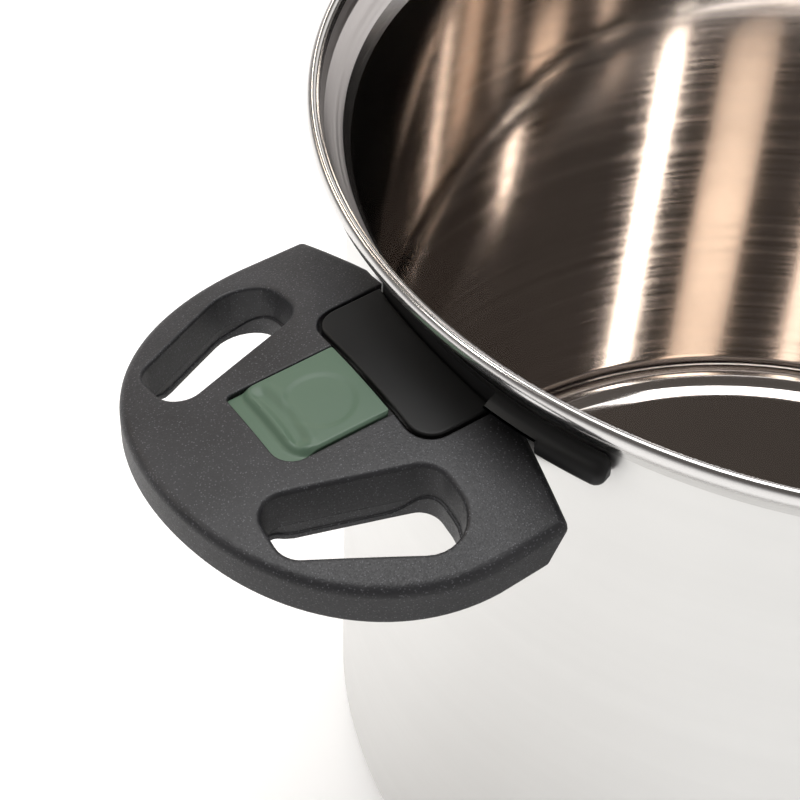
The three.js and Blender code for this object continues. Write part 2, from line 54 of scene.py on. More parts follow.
DISC_H = 5.5
TOP_Z = RIM_Z - 15.5  # handle's top face 125 from the axis
REF_X = 125  # where the slope starts
CROWN = 0.0034
SLOPE = 0.09
GRIP_H = 8.5
TONGUE_X = 127
TONGUE_HALF = 19.6
TONGUE_R = 112.2  # radius of the tongue's edge beside the pot
COVER_R = 113.2  # and of the cover on it
BAR_R = 115  # middle of the bracket's curved bar
BAR_START = math.asin(19.8 / BAR_R)  # the bar is set back before this angle
BAR_FULL = math.asin(32.2 / BAR_R)  # and thin up to this one
BAR_END = math.radians(23.4)
BAR_SHORT_END = math.radians(9.6)  # on the handle's other side
BAR_ROUND_END = 2.3 / BAR_R
COLLAR_H = 11.5  # depth of the finger slots' walls
SLIDER_HALF = 10.4
SLIDER_START = 128.3
SLIDER_END = 147.9  # outer end of the thumb pad
LEDGE_END = 152.4  # outer end of the ledge round the pad
LEDGE = -0.9  # height of the ledge
POCKET_END = 151.2
KNOB_TOP = 60
LID_SPAN = 278
JAW_TRAVEL = 5
JAW_REACH = math.radians(31)
KNOB_GRIP_Z = 49.5  # bottom of the knob's thumb recesses


# ---------------------------------------------------------------- outlines
def smooth(value):
    """0 to 1 with a soft start and end."""
    value = max(0.0, min(1.0, value))
    return value * value * (3 - 2 * value)


def arc(cx, cy, radius, start, end, steps):
    """Points on an arc, both ends included."""
    angles = [start + (end - start) * k / steps for k in range(steps + 1)]
    return [Vector((cx + radius * math.cos(a), cy + radius * math.sin(a))) for a in angles]


def rounded(corners, steps=6, closed=True):
    """Corners (x, y, radius) to points, each corner with a radius turned into an arc."""
    points = []
    for i, (x, y, radius) in enumerate(corners):
        corner = Vector((x, y))
        if not radius or (not closed and i in (0, len(corners) - 1)):
            points.append(corner)
            continue
        before = (Vector(corners[i - 1][:2]) - corner).normalized()
        after = (Vector(corners[(i + 1) % len(corners)][:2]) - corner).normalized()
        half = math.acos(max(-1, min(1, before.dot(after)))) / 2
        centre = corner + (before + after).normalized() * (radius / math.sin(half))
        reach = radius / math.tan(half)
        first = corner + before * reach - centre
        last = corner + after * reach - centre
        start = math.atan2(first.y, first.x)
        sweep = (math.atan2(last.y, last.x) - start + math.pi) % (2 * math.pi) - math.pi
        points += arc(centre.x, centre.y, radius, start, start + sweep, steps)
    return points


def rectangle(x0, x1, y0, y1, radius):
    return [(x0, y0, radius), (x1, y0, radius), (x1, y1, radius), (x0, y1, radius)]


def spaced(points, step):
    """The same closed outline with no side longer than step."""
    result = []
    for a, b in zip(points, points[1:] + points[:1]):
        parts = max(1, math.ceil((b - a).length / step))
        result += [a.lerp(b, k / parts) for k in range(parts)]
    return result


def area(points):
    return sum(a.x * b.y - b.x * a.y for a, b in zip(points, points[1:] + points[:1])) / 2


def offset(points, distance):
    """Closed anticlockwise outline moved in by distance, or out where it is negative.

    distance is one number, or a list with one for each point.
    """
    result = []
    count = len(points)
    distances = distance if isinstance(distance, list) else [distance] * count
    for i, point in enumerate(points):
        one = (point - points[i - 1]).normalized()
        two = (points[(i + 1) % count] - point).normalized()
        middle = (one + two).normalized()
        stretch = 1 / max(0.5, middle.dot(one))
        result.append(point + Vector((-middle.y, middle.x)) * distances[i] * stretch)
    return result


# ---------------------------------------------------------------- solids as (vertices, faces)
def turned(profile, segments=192, turn=2 * math.pi, start=0.0):
    """Solid of revolution about Z. A full turn's profile ends on the axis or closes on itself."""
    full = turn >= 2 * math.pi
    on_axis = [p.x < 1e-6 for p in profile]
    steps = segments if full else segments + 1
    verts = []
    rings = []
    for point, axis in zip(profile, on_axis):
        if axis and full:
            rings.append([len(verts)] * steps)
            verts.append(Vector((0, 0, point.y)))
            continue
        rings.append(list(range(len(verts), len(verts) + steps)))
        for k in range(steps):
            a = start + turn * k / segments
            verts.append(Vector((point.x * math.cos(a), point.x * math.sin(a), point.y)))
    closed = not (on_axis[0] and on_axis[-1])
    pairs = list(zip(rings, rings[1:])) + ([(rings[-1], rings[0])] if closed else [])
    faces = []
    for low, high in pairs:
        for k in range(segments):
            n = (k + 1) % steps
            face = [low[k], low[n], high[n], high[k]]
            face = [v for i, v in enumerate(face) if v != face[i - 1]]
            if len(face) > 2:
                faces.append(face)
    if not full:
        faces.append([ring[0] for ring in rings])
        faces.append([ring[-1] for ring in reversed(rings)])
    return verts, faces


def plate(outer, holes, low, high, edge_top, edge_low, lip=0.8, draft=0.0, steps=5):
    """Flat plate with rounded edges, and holes whose lips are rounded and whose walls lean in by draft.

    edge_top is a radius, or a function of the point that gives it.
    """
    verts = []
    faces = []
    tops = []
    lows = []

    def rail(loop, top, bottom, lean=0):
        rows = []
        quarter = [k * math.pi / 2 / steps for k in range(steps + 1)]
        radii = [top(p) if callable(top) else top for p in loop]
        section = []
        for a in quarter:
            inset = bottom * (1 - math.sin(a)) - lean
            height = low + bottom * (1 - math.cos(a))
            section.append(([inset] * len(loop), [height] * len(loop)))
        for a in quarter:
            insets = [r * (1 - math.cos(a)) for r in radii]
            section.append((insets, [high - r * (1 - math.sin(a)) for r in radii]))
        for insets, heights in section:
            shifted = offset(loop, insets)
            rows.append(range(len(verts), len(verts) + len(shifted)))
            verts.extend(Vector((p.x, p.y, z)) for p, z in zip(shifted, heights))
        for below, above in zip(rows, rows[1:]):
            count = len(below)
            for i in range(count):
                faces.append([below[i], below[(i + 1) % count], above[(i + 1) % count], above[i]])
        lows.append(rows[0])
        tops.append(rows[-1])

    outer = outer if area(outer) > 0 else outer[::-1]
    rail(outer, edge_top, edge_low)
    for hole in holes:
        hole = hole if area(hole) < 0 else hole[::-1]
        rail(hole, lip, 0.15, draft)
    for rows, flip in ((tops, False), (lows, True)):
        order = [i for row in rows for i in row]
        loops = [[verts[i] for i in row] for row in rows]
        for tri in tessellate_polygon(loops):
            face = [order[i] for i in tri]
            a, b, c = (verts[i] for i in face)
            up = (b - a).cross(c - a).z > 0
            faces.append(face if up != flip else face[::-1])
    return verts, faces


def box(x0, x1, y0, y1, z0, z1, edge=0.4):
    outline = rounded(rectangle(x0, x1, y0, y1, edge * 1.5), 3)
    return plate(outline, [], z0, z1, edge, edge, steps=3)


def rib(profile, half, edge=0.4):
    """Strip with a side profile of (x, z) points, twice half wide along Y."""
    verts, faces = plate(profile, [], -half, half, edge, edge, steps=3)
    return [Vector((v.x, -v.z, v.y)) for v in verts], faces


def moved(solid, matrix):
    verts, faces = solid
    return [matrix @ v for v in verts], faces


def merged(*solids):
    verts = []
    faces = []
    for more, sides in solids:
        start = len(verts)
        verts += more
        faces += [[i + start for i in side] for side in sides]
    return verts, faces


def sliced(solid, xs, ys):
    """The same solid with its faces cut along planes of x and y, so that it can bend."""
    mesh = bmesh.new()
    ours = [mesh.verts.new(v) for v in solid[0]]
    for side in solid[1]:
        if len(set(side)) == len(side) > 2:
            try:
                mesh.faces.new([ours[i] for i in side])
            except ValueError:
                continue
    for values, normal in ((xs, (1, 0, 0)), (ys, (0, 1, 0))):
        for value in values:
            everything = mesh.verts[:] + mesh.edges[:] + mesh.faces[:]
            point = Vector(normal) * value
            bmesh.ops.bisect_plane(mesh, geom=everything, dist=1e-5, plane_co=point, plane_no=normal)
    mesh.verts.index_update()
    result = [v.co.copy() for v in mesh.verts], [[v.index for v in f.verts] for f in mesh.faces]
    mesh.free()
    return result


def steps_between(low, high, step):
    count = max(1, round((high - low) / step))
    return [low + (high - low) * k / count for k in range(1, count)]


def crowned(solid):
    """Handle pieces are drawn flat with their top at 0, then take the handle's crown and slope."""
    verts, faces = solid
    bent = [v - Vector((0, 0, CROWN * v.y ** 2 + SLOPE * (v.x - REF_X) - TOP_Z)) for v in verts]
    return bent, faces


# ---------------------------------------------------------------- pieces
def piece(name, solid, material, body, nodes=(), angle=40, weighted=True):
    mesh = bpy.data.meshes.new(name)
    mesh.from_pydata([v * 0.001 for v in solid[0]], [], solid[1])
    shell = bmesh.new()
    shell.from_mesh(mesh)
    bmesh.ops.remove_doubles(shell, verts=shell.verts[:], dist=1e-6)
    bmesh.ops.recalc_face_normals(shell, faces=shell.faces[:])
    shell.to_mesh(mesh)
    shell.free()
    mesh.validate()
    obj = bpy.data.objects.new(name, mesh)
    bpy.context.scene.collection.objects.link(obj)
    mesh.materials.append(material)
    mesh.shade_smooth()
    mesh.set_sharp_from_angle(angle=math.radians(angle))
    if weighted:
        modifier = obj.modifiers.new("even", "WEIGHTED_NORMAL")
        modifier.keep_sharp = True
        modifier.weight = 50
    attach(obj, body)
    if nodes:
        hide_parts(*nodes)
    return obj


# ---------------------------------------------------------------- materials
def new_material(name):
    material = bpy.data.materials.new(name)
    material.use_nodes = True
    nodes = material.node_tree.nodes
    return material, nodes, material.node_tree.links, nodes["Principled BSDF"]


def coordinates(nodes, links, scale):
    where = nodes.new("ShaderNodeTexCoord")
    mapping = nodes.new("ShaderNodeMapping")
    mapping.inputs["Scale"].default_value = scale
    links.new(where.outputs["Object"], mapping.inputs["Vector"])
    return mapping.outputs["Vector"]


def noise_node(nodes, links, vector, scale, detail=4.0, rough=0.5):
    node = nodes.new("ShaderNodeTexNoise")
    node.inputs["Scale"].default_value = scale
    node.inputs["Detail"].default_value = detail
    node.inputs["Roughness"].default_value = rough
    links.new(vector, node.inputs["Vector"])
    return node.outputs["Fac"]


def ramp(nodes, links, value, low, high, start, end):
    """value from start to end becomes low to high."""
    node = nodes.new("ShaderNodeMapRange")
    node.inputs["From Min"].default_value = start
    node.inputs["From Max"].default_value = end
    node.inputs["To Min"].default_value = low
    node.inputs["To Max"].default_value = high
    links.new(value, node.inputs["Value"])
    return node.outputs["Result"]


def colours(nodes, links, value, stops):
    node = nodes.new("ShaderNodeValToRGB")
    while len(node.color_ramp.elements) < len(stops):
        node.color_ramp.elements.new(0.5)
    for element, (position, colour) in zip(node.color_ramp.elements, stops):
        element.position = position
        element.color = (*colour, 1)
    links.new(value, node.inputs["Fac"])
    return node.outputs["Color"]


def bump(nodes, links, shader, height, strength, distance):
    node = nodes.new("ShaderNodeBump")
    node.inputs["Strength"].default_value = strength
    node.inputs["Distance"].default_value = distance
    links.new(height, node.inputs["Height"])
    links.new(node.outputs["Normal"], shader.inputs["Normal"])


def brushed_steel(name, dark, light, rough, lines=0.25, spread=0.06):
    """Steel with fine lines that run round the pot."""
    material, nodes, links, shader = new_material(name)
    shader.inputs["Metallic"].default_value = 1.0
    round_lines = noise_node(nodes, links, coordinates(nodes, links, (6, 6, 2600)), 1.0, 3.0, 0.6)
    bands = noise_node(nodes, links, coordinates(nodes, links, (3, 3, 160)), 1.0, 2.0)
    cloud = noise_node(nodes, links, coordinates(nodes, links, (18, 18, 18)), 1.0, 3.0)
    tint = colours(nodes, links, bands, [(0.3, dark), (0.7, light)])
    links.new(tint, shader.inputs["Base Color"])
    mix = nodes.new("ShaderNodeMath")
    mix.operation = "ADD"
    links.new(ramp(nodes, links, round_lines, -spread / 2, spread / 2, 0.3, 0.7), mix.inputs[0])
    links.new(ramp(nodes, links, cloud, rough - 0.03, rough + 0.03, 0.3, 0.7), mix.inputs[1])
    links.new(mix.outputs[0], shader.inputs["Roughness"])
    bump(nodes, links, shader, round_lines, lines, 0.00003)
    return material


def mirror_steel(name, dark, light, rough, wave=0.1):
    """Polished steel, a little uneven, with faint polishing haze."""
    material, nodes, links, shader = new_material(name)
    shader.inputs["Metallic"].default_value = 1.0
    cloud = noise_node(nodes, links, coordinates(nodes, links, (9, 9, 4)), 1.0, 3.0)
    haze = noise_node(nodes, links, coordinates(nodes, links, (5, 5, 900)), 1.0, 3.0)
    links.new(colours(nodes, links, cloud, [(0.3, dark), (0.7, light)]), shader.inputs["Base Color"])
    links.new(ramp(nodes, links, haze, rough * 0.7, rough * 1.3, 0.3, 0.7), shader.inputs["Roughness"])
    bump(nodes, links, shader, cloud, wave, 0.0006)
    return material


def speckled_plastic(name, dark, light, rough, grain=0.35):
    """Fibre filled moulding with fine light specks and a faint spark-eroded grain."""
    material, nodes, links, shader = new_material(name)
    where = coordinates(nodes, links, (1, 1, 1))
    fine = noise_node(nodes, links, where, 2400, 2.0, 0.6)
    cells = nodes.new("ShaderNodeTexVoronoi")
    cells.inputs["Scale"].default_value = 1900
    links.new(where, cells.inputs["Vector"])
    broad = noise_node(nodes, links, where, 60, 3.0)
    specks = ramp(nodes, links, cells.outputs["Distance"], 1.0, 0.0, 0.05, 0.34)
    mix = nodes.new("ShaderNodeMath")
    mix.operation = "MULTIPLY"
    links.new(specks, mix.inputs[0])
    links.new(ramp(nodes, links, fine, 0.0, 1.8, 0.42, 0.62), mix.inputs[1])
    blend = nodes.new("ShaderNodeMath")
    blend.operation = "MULTIPLY_ADD"
    links.new(broad, blend.inputs[0])
    blend.inputs[1].default_value = 0.35
    links.new(mix.outputs[0], blend.inputs[2])
    tint = colours(nodes, links, blend.outputs[0], [(0.1, dark), (0.9, light)])
    links.new(tint, shader.inputs["Base Color"])
    links.new(ramp(nodes, links, fine, rough - 0.07, rough + 0.07, 0.3, 0.7), shader.inputs["Roughness"])
    bump(nodes, links, shader, fine, grain, 0.00006)
    return material


def smooth_plastic(name, dark, light, rough, grain=0.12, shine=0.5):
    material, nodes, links, shader = new_material(name)
    shader.inputs["Specular IOR Level"].default_value = shine
    where = coordinates(nodes, links, (1, 1, 1))
    fine = noise_node(nodes, links, where, 900, 3.0)
    broad = noise_node(nodes, links, where, 45, 3.0)
    links.new(colours(nodes, links, broad, [(0.3, dark), (0.7, light)]), shader.inputs["Base Color"])
    links.new(ramp(nodes, links, broad, rough - 0.05, rough + 0.05, 0.3, 0.7), shader.inputs["Roughness"])
    bump(nodes, links, shader, fine, grain, 0.00004)
    return material


SATIN = brushed_steel("satin_steel", (0.66, 0.657, 0.645), (0.675, 0.672, 0.660), 0.32, 0.12, 0.04)
MIRROR = mirror_steel("mirror_steel", (0.58, 0.54, 0.51), (0.68, 0.64, 0.61), 0.09)
RIM_STEEL = mirror_steel("rim_steel", (0.66, 0.65, 0.64), (0.72, 0.71, 0.70), 0.20, 0.02)
# Neck steel: its rougher finish is real, and its lighter, pinker colour than the bead's steel is a painted
# reflection of the pale surroundings.
NECK_WITH_PAINTED_REFLECTION = mirror_steel("neck_steel_painted_reflection", (0.72, 0.69, 0.68), (0.78, 0.75, 0.74), 0.38, 0.02)
BRIGHT = mirror_steel("bright_steel", (0.60, 0.59, 0.57), (0.70, 0.69, 0.67), 0.18, 0.04)
ALUMINIUM = brushed_steel("aluminium", (0.60, 0.61, 0.62), (0.68, 0.69, 0.70), 0.4)
GRIP = speckled_plastic("speckled_charcoal", (0.0085, 0.0085, 0.0102), (0.090, 0.090, 0.100), 0.52, 1.0)
BLACK = smooth_plastic("smooth_black", (0.0130, 0.0130, 0.0135), (0.0175, 0.0175, 0.0180), 0.45, 0.12, 0.3)
COVER_BLACK = smooth_plastic("cover_black", (0.006, 0.006, 0.006), (0.0085, 0.0085, 0.0085), 0.44, 0.1, 0.25)
SAGE = smooth_plastic("sage_green", (0.082, 0.137, 0.093), (0.092, 0.150, 0.102), 0.42, 0.12, 0.4)
RUBBER = smooth_plastic("grey_silicone", (0.36, 0.37, 0.35), (0.42, 0.43, 0.41), 0.55)
RED = smooth_plastic("signal_red", (0.36, 0.03, 0.02), (0.42, 0.04, 0.025), 0.35)
SLOT_MATERIAL = {
    "pot_steel": SATIN,
    "bright_steel": BRIGHT,
    "core_aluminium": ALUMINIUM,
    "grip_plastic": GRIP,
    "smooth_black": BLACK,
    "sage_plastic": SAGE,
    "gasket_rubber": RUBBER,
    "signal_plastic": RED,
}


# ---------------------------------------------------------------- pot
def rim_points(pairs):
    return [Vector((r, RIM_Z + z)) for r, z in pairs]


def bead(start, end, steps):
    angles = [start + (end - start) * k / steps for k in range(steps + 1)]
    return rim_points([(BEAD_R + BEAD_HALF * math.cos(a), BEAD_RISE * math.sin(a)) for a in angles])


def pot():
    underside = DISC_H + 0.3
    inner = WALL_R - SHEET
    outside = rounded([
        (0, underside, 0), (WALL_R - 1.4, underside, 4), (WALL_R, underside + 7, 9), (WALL_R, 170, 0),
    ], 8, False)
    neck = rounded([
        (WALL_R, RIM_Z - 13, 0), (WALL_R, RIM_Z - 11.4, 0.5), (112.3, RIM_Z - 10.9, 0.5),
        (116.9, RIM_Z - 4.6, 3), (118.0, RIM_Z - 1.9, 0),
    ], 5, False)
    curl = bead(-1.9, 2.7, 26)
    mouth = rounded([
        (117.45, RIM_Z + 0.9, 0), (117.1, RIM_Z - 0.6, 0.8), (116.44, RIM_Z - 4.2, 1.0),
        (112.49, RIM_Z - 9.03, 1.2), (inner, RIM_Z - 12.4, 2.5), (inner, RIM_Z - 20, 0),
    ], 6, False)
    bottom = underside + SHEET
    inside = rounded([(inner, 100, 0), (inner, bottom, 10), (0, bottom, 0)], 14, False)
    profile = outside + neck + curl + mouth + inside
    body = piece("pot_shell", turned(profile, 256), SATIN, "pot", ["pot_body"], 60, False)
    for material in (MIRROR, RIM_STEEL, NECK_WITH_PAINTED_REFLECTION):
        body.data.materials.append(material)
    for face in body.data.polygons:
        centre = face.center * 1000
        radius = math.hypot(centre.x, centre.y)
        if radius < inner + 0.4 and centre.z > bottom - 0.4 and centre.z < RIM_Z - 9.0:
            face.material_index = 1
        # The neck's inside takes the rougher steel whose lighter, pinker colour is a painted reflection.
        elif radius < 117.5 and RIM_Z - 9.4 < centre.z < RIM_Z - 0.6 and face.normal.z > 0:
            face.material_index = 3
        elif centre.z > RIM_Z - 11.2:
            face.material_index = 2


def pot_base():
    lip = BASE_R - 2 + 0.3
    profile = rounded([
        (0, 0, 0), (BASE_R, 0, 2), (BASE_R, DISC_H, 0.4), (lip, DISC_H, 0.3), (lip, 1.0, 0.2), (0, 1.0, 0),
    ], 6, False)
    piece("base_dish", turned(profile, 192), SATIN, "pot", ["base_cap"], 45, False)


# ---------------------------------------------------------------- handles
def grip_outline():
    tip = 0.33
    pocket = SLIDER_HALF + 0.35

    def half(sign, pocket_radius):
        side = arc(127.9, 3, 44, tip, math.pi / 2, 26)
        outside = arc(119.2, 0, 53.2, 0, tip, 8)[:-1] + side
        inside = rounded([
            (127.9, 47, 0), (113, 46.4, 1.7), (109.4, 27, 3), (110.4, 20.3, 0.8), (TONGUE_X + 0.8, 20.3, 5.5),
            (TONGUE_X + 0.8, pocket, 0.5), (POCKET_END, pocket, pocket_radius), (POCKET_END, 0, 0),
        ], 6, False)[1:-1]
        return [Vector((p.x, sign * p.y)) for p in outside + inside]

    return spaced(half(1, 4.6) + half(-1, 1.4)[1:][::-1], 2.5)


SLOT = [(127, 44.8, 8), (160.9, 27.2, 5), (160.5, 13.4, 5), (127, 24, 6)]
COLLAR = [(125.2, 46.6, 9.5), (162.5, 28.2, 6.5), (162.3, 12.5, 6.2), (125.2, 22.4, 7.5)]


def mirrored_outline(corners, sign):
    outline = spaced(rounded([(x, sign * y, r) for x, y, r in corners], 10), 2.0)
    return outline if area(outline) > 0 else outline[::-1]


def tongue_outline(inner, outer, half, radius):
    return rounded([(inner, -half, 0), (outer, -half, radius), (outer, half, radius), (inner, half, 0)], 8)


def slot_collar(sign):
    """Wall under a finger slot: the upper shell, and the lower shell that closes it with a visible seam."""
    around = mirrored_outline(COLLAR, sign)
    hole = mirrored_outline(SLOT, sign)
    upper = plate(around, [offset(hole, 0.6)], -10.9, -7.9, 0.2, 0.2, 0.05)
    lower, faces = plate(offset(around, -0.3), [offset(hole, 0.95)], -COLLAR_H, -10.2, 0.3, 0.4, 0.3)

    def seam(v):
        """The seam climbs towards the pot."""
        return v if v.z < -10.8 else v + Vector((0, 0, 3.4 * smooth((136 - v.x) / 9)))

    def shallow(v):
        """The wall is shallower at the outer end, so that it stays hidden behind the handle's edge."""
        raised = min(v.z + 2.6 * smooth((v.x - 153) / 6), -8.2)
        return Vector((v.x, v.y, raised)) if v.z < -8.2 else v

    verts, faces = merged(upper, ([seam(v) for v in lower], faces))
    return [shallow(v) for v in verts], faces


def grip_edge(p):
    """The moulding's outside edges are rounder than those round the tongue and the slider."""
    if abs(p.y) < 20.4 and p.x < 152:
        return 0.45
    return min(1.9, 0.45 + max(0.0, abs(p.y) - 20.4) * 0.3) if p.x < 127 else 1.9


def grip():
    holes = [mirrored_outline(SLOT, 1), mirrored_outline(SLOT, -1)]
    flat = plate(grip_outline(), holes, -GRIP_H, 0, grip_edge, 1.2, 1.0, 0.6)
    verts, faces = sliced(flat, steps_between(110, 173, 3), steps_between(-48, 48, 3))

    def undercut(v):
        """Beyond the pin the inner edge's lower half slants back from the pot."""
        slant = min(1.0, max(0.0, (abs(v.y) - 30.5) / 3))
        back = (117.4 - v.x) * min(1.0, max(0.0, (-2.6 - v.z) / 5.4)) * slant
        return v + Vector((back, 0, 0)) if v.x < 117.4 and v.z < -2.6 else v

    return crowned(merged(([undercut(v) for v in verts], faces), slot_collar(1), slot_collar(-1)))


def slider_height(x, y):
    """The slider's top: a thumb pad with a dish, a groove and a rounded outer edge, then a ledge."""
    radius = 5.0 if y > 0 else 2.6
    over = (x - (SLIDER_END - radius), abs(y) - (SLIDER_HALF + 0.2 - radius))
    outside = math.hypot(max(over[0], 0), max(over[1], 0)) + min(max(over), 0) - radius
    pad = smooth((0.9 - outside) / 1.8) if x > 131 else smooth((0.5 - (abs(y) - SLIDER_HALF)) / 1.0)
    bow = 142.9 + 0.012 * y * y
    groove = smooth((x - bow) / 1.7) * smooth((bow + 4.4 - x) / 1.9) * smooth((9.6 - abs(y)) / 3.0)
    crest = math.exp(-(((x - bow + 0.4) / 0.8) ** 2)) * smooth((9.8 - abs(y)) / 2.0)
    dish = smooth((7.4 - math.hypot(x - 137.4, y - 0.8)) / 1.6)
    top = 0.45 - 0.62 * groove + 0.12 * crest - 0.28 * dish
    return LEDGE + (top - LEDGE) * pad


def slider():
    corners = rectangle(SLIDER_START, LEDGE_END, -SLIDER_HALF, SLIDER_HALF, 0.8)
    block = plate(spaced(rounded(corners, 4), 1.0), [], -3.8, 0, 0.15, 0.3)
    xs = steps_between(SLIDER_START, LEDGE_END, 0.3)
    verts, faces = sliced(block, xs, steps_between(-SLIDER_HALF, SLIDER_HALF, 0.4))

    def shaped(v):
        """The top is the thumb pad, and the underside is thinner where the spring lies."""
        if v.z > -0.3:
            return v + Vector((0, 0, slider_height(v.x, v.y)))
        spring_room = v.x > 145.6 and abs(v.y) < 2.4
        return Vector((v.x, v.y, max(v.z, -2.5))) if spring_room else v

    return crowned(([shaped(v) for v in verts], faces))


def cover():
    reach = math.asin(TONGUE_HALF / COVER_R)
    beside_pot = arc(0, 0, COVER_R, reach, -reach, 16)
    outline = spaced(tongue_outline(COVER_R, TONGUE_X, TONGUE_HALF, 5)[1:-1] + beside_pot, 2.0)
    flat = plate(outline, [], -1.3, 0, 0.5, 0.2, steps=4)
    return crowned(sliced(flat, steps_between(111, TONGUE_X, 2), steps_between(-TONGUE_HALF, TONGUE_HALF, 2)))


def bracket_ring():
    """Curved bar on the wall under the neck.

    It is set back behind the cover, and thin where the handle's inner edge swings up.
    """
    low = RIM_Z - 17
    high = RIM_Z - 12.2
    inner = WALL_R + WALL_GAP
    outer = 116.5
    section = rounded([(inner, low, 0.3), (outer, low, 1.2), (outer, high, 3.6), (inner, high, 0.3)], 8)
    middle = Vector(((WALL_R + outer) / 2, (low + high) / 2))
    body_reach = BAR_END - BAR_ROUND_END
    angles = [-BAR_SHORT_END + (body_reach + BAR_SHORT_END) * k / 38 for k in range(39)]
    angles += [math.asin(y / BAR_R) for y in (19.7, 19.9, 32.1, 32.3)]
    angles += [body_reach + BAR_ROUND_END * math.sin(t) for t in (0.35, 0.7, 1.0, 1.3, 1.5)]
    angles.sort()
    verts = []
    faces = []
    count = len(section)
    for a in angles:
        past = max(0.0, a - body_reach) / BAR_ROUND_END
        shrink = 1 - (1 - math.sqrt(max(0.0, 1 - past * past))) * 0.7
        for p in section:
            q = middle + (p - middle) * shrink
            radius = q.x if a > BAR_START else min(q.x, COVER_R - 0.3)
            z = max(q.y, RIM_Z - 13.6) if BAR_START < a < BAR_FULL else q.y
            verts.append(Vector((radius * math.cos(a), radius * math.sin(a), z)))
    for k in range(len(angles) - 1):
        for i in range(count):
            n = (i + 1) % count
            faces.append([k * count + i, k * count + n, (k + 1) * count + n, (k + 1) * count + i])
    faces.append(list(range(count))[::-1])
    faces.append(list(range(len(verts) - count, len(verts))))
    return verts, faces


def bracket():
    """Fixed bracket: the ring, the tongue the handle folds about, and the foot the studs hold."""
    half = TONGUE_HALF
    reach = math.asin(half / TONGUE_R)
    beside_pot = arc(0, 0, TONGUE_R, reach, -reach, 12)
    outline = tongue_outline(TONGUE_R, TONGUE_X, half, 5)[1:-1] + beside_pot
    tongue = sliced(plate(outline, [], -8.6, -1.6, 0.3, 0.5), [], steps_between(-half, half, 3))
    foot = box(108, 114.4, -half, half, RIM_Z - 33, RIM_Z - 18, 0.6)

    def against_wall(v):
        """The foot's back follows the pot's wall."""
        return v if v.x > 110 else Vector((math.sqrt((WALL_R + WALL_GAP) ** 2 - v.y ** 2), v.y, v.z))

    verts, faces = sliced(foot, [110], steps_between(-half, half, 2))
    return merged(bracket_ring(), crowned(tongue), ([against_wall(v) for v in verts], faces))


def handle(side):
    turn = Matrix.Rotation(math.pi if side == "left" else 0.0, 4, "Z")
    for name, solid, material, body, slot, node in (
        ("grip", grip(), GRIP, f"{side}_handle", "grip_plastic", "grip"),
        ("slider", slider(), SAGE, f"{side}_release", "sage_plastic", "release_slider"),
        ("cover", cover(), COVER_BLACK, "pot", "smooth_black", "bracket_cover"),
        ("bracket", bracket(), BLACK, "pot", "smooth_black", "bracket"),
    ):
        piece(f"{side}_{name}_moulding", moved(solid, turn), material, body, [f"{side}_{node}"], 35)


# ---------------------------------------------------------------- lid, drawn closed, the bead's plane at 0
LID = Matrix.Translation((0, -LID_SPAN, KNOB_TOP)) @ Matrix.Rotation(math.pi, 4, "X")
REGULATOR_AT = (0, 60)
INDICATOR_AT = (-24, -54)
SAFETY_AT = (34, -50)
DOME_PROFILE = [(0, 29), (32, 28), (64, 24.8), (90, 19), (104, 12.4), (110.5, 6.3)]


def dome(inset=0.0, drop=0.0):
    """Smooth curve through the dome's points."""
    points = [Vector((-32, 28))] + [Vector(p) for p in DOME_PROFILE] + [Vector((114, 2.4))]
    curve = []
    for a, b, c, d in zip(points, points[1:], points[2:], points[3:]):
        for k in range(6):
            t = k / 6
            curve.append(0.5 * ((2 * b) + (c - a) * t + (2 * a - 5 * b + 4 * c - d) * t * t
                                + (3 * b - a - 3 * c + d) * t ** 3))
    curve.append(Vector(DOME_PROFILE[-1]))
    return [Vector((max(0, p.x - inset) if p.x else 0, p.y - drop)) for p in curve]


def lid_shell():
    flange = rounded([
        (111.2, 6.0, 0), (112.2, 5.7, 0.6), (122, 5.7, 1.2), (122, 2.5, 0.3), (121.1, 2.5, 0.3),
        (121.1, 4.6, 0.5), (111.5, 4.6, 0.8), (110.6, 4.9, 0),
    ], 5, False)
    inside = dome(0.6, 1.1)[::-1]
    solid = turned(dome() + flange + inside, 192)
    piece("lid_dome", moved(solid, LID), SATIN, "lid", ["lid_shell"], 45, False)


